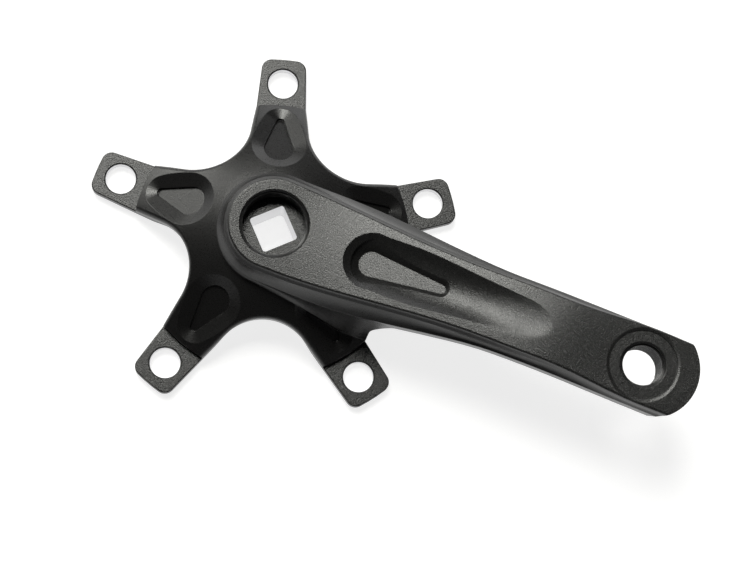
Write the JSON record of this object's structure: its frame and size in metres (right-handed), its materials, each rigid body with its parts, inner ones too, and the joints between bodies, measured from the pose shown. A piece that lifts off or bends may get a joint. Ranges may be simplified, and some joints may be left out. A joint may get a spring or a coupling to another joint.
{
  "type": "bicycle crank arm",
  "caption": "Short black bicycle crank arm with an integral chainring spider, a square-taper hub and a threaded pedal eye.",
  "frame": {"origin": "on the spindle axis, level with the chainring seats on the spider's tabs", "axes": "+Z along the spindle axis, outboard; +X along the arm towards the pedal hole"},
  "size_m": [0.2093, 0.1238, 0.042],
  "materials": {
    "black_coat": "black coat, satin on the flanks and spider, blasted on the faces"
  },
  "bodies": {
    "root": {"crank_arm": "black_coat"}
  },
  "joints": []
}
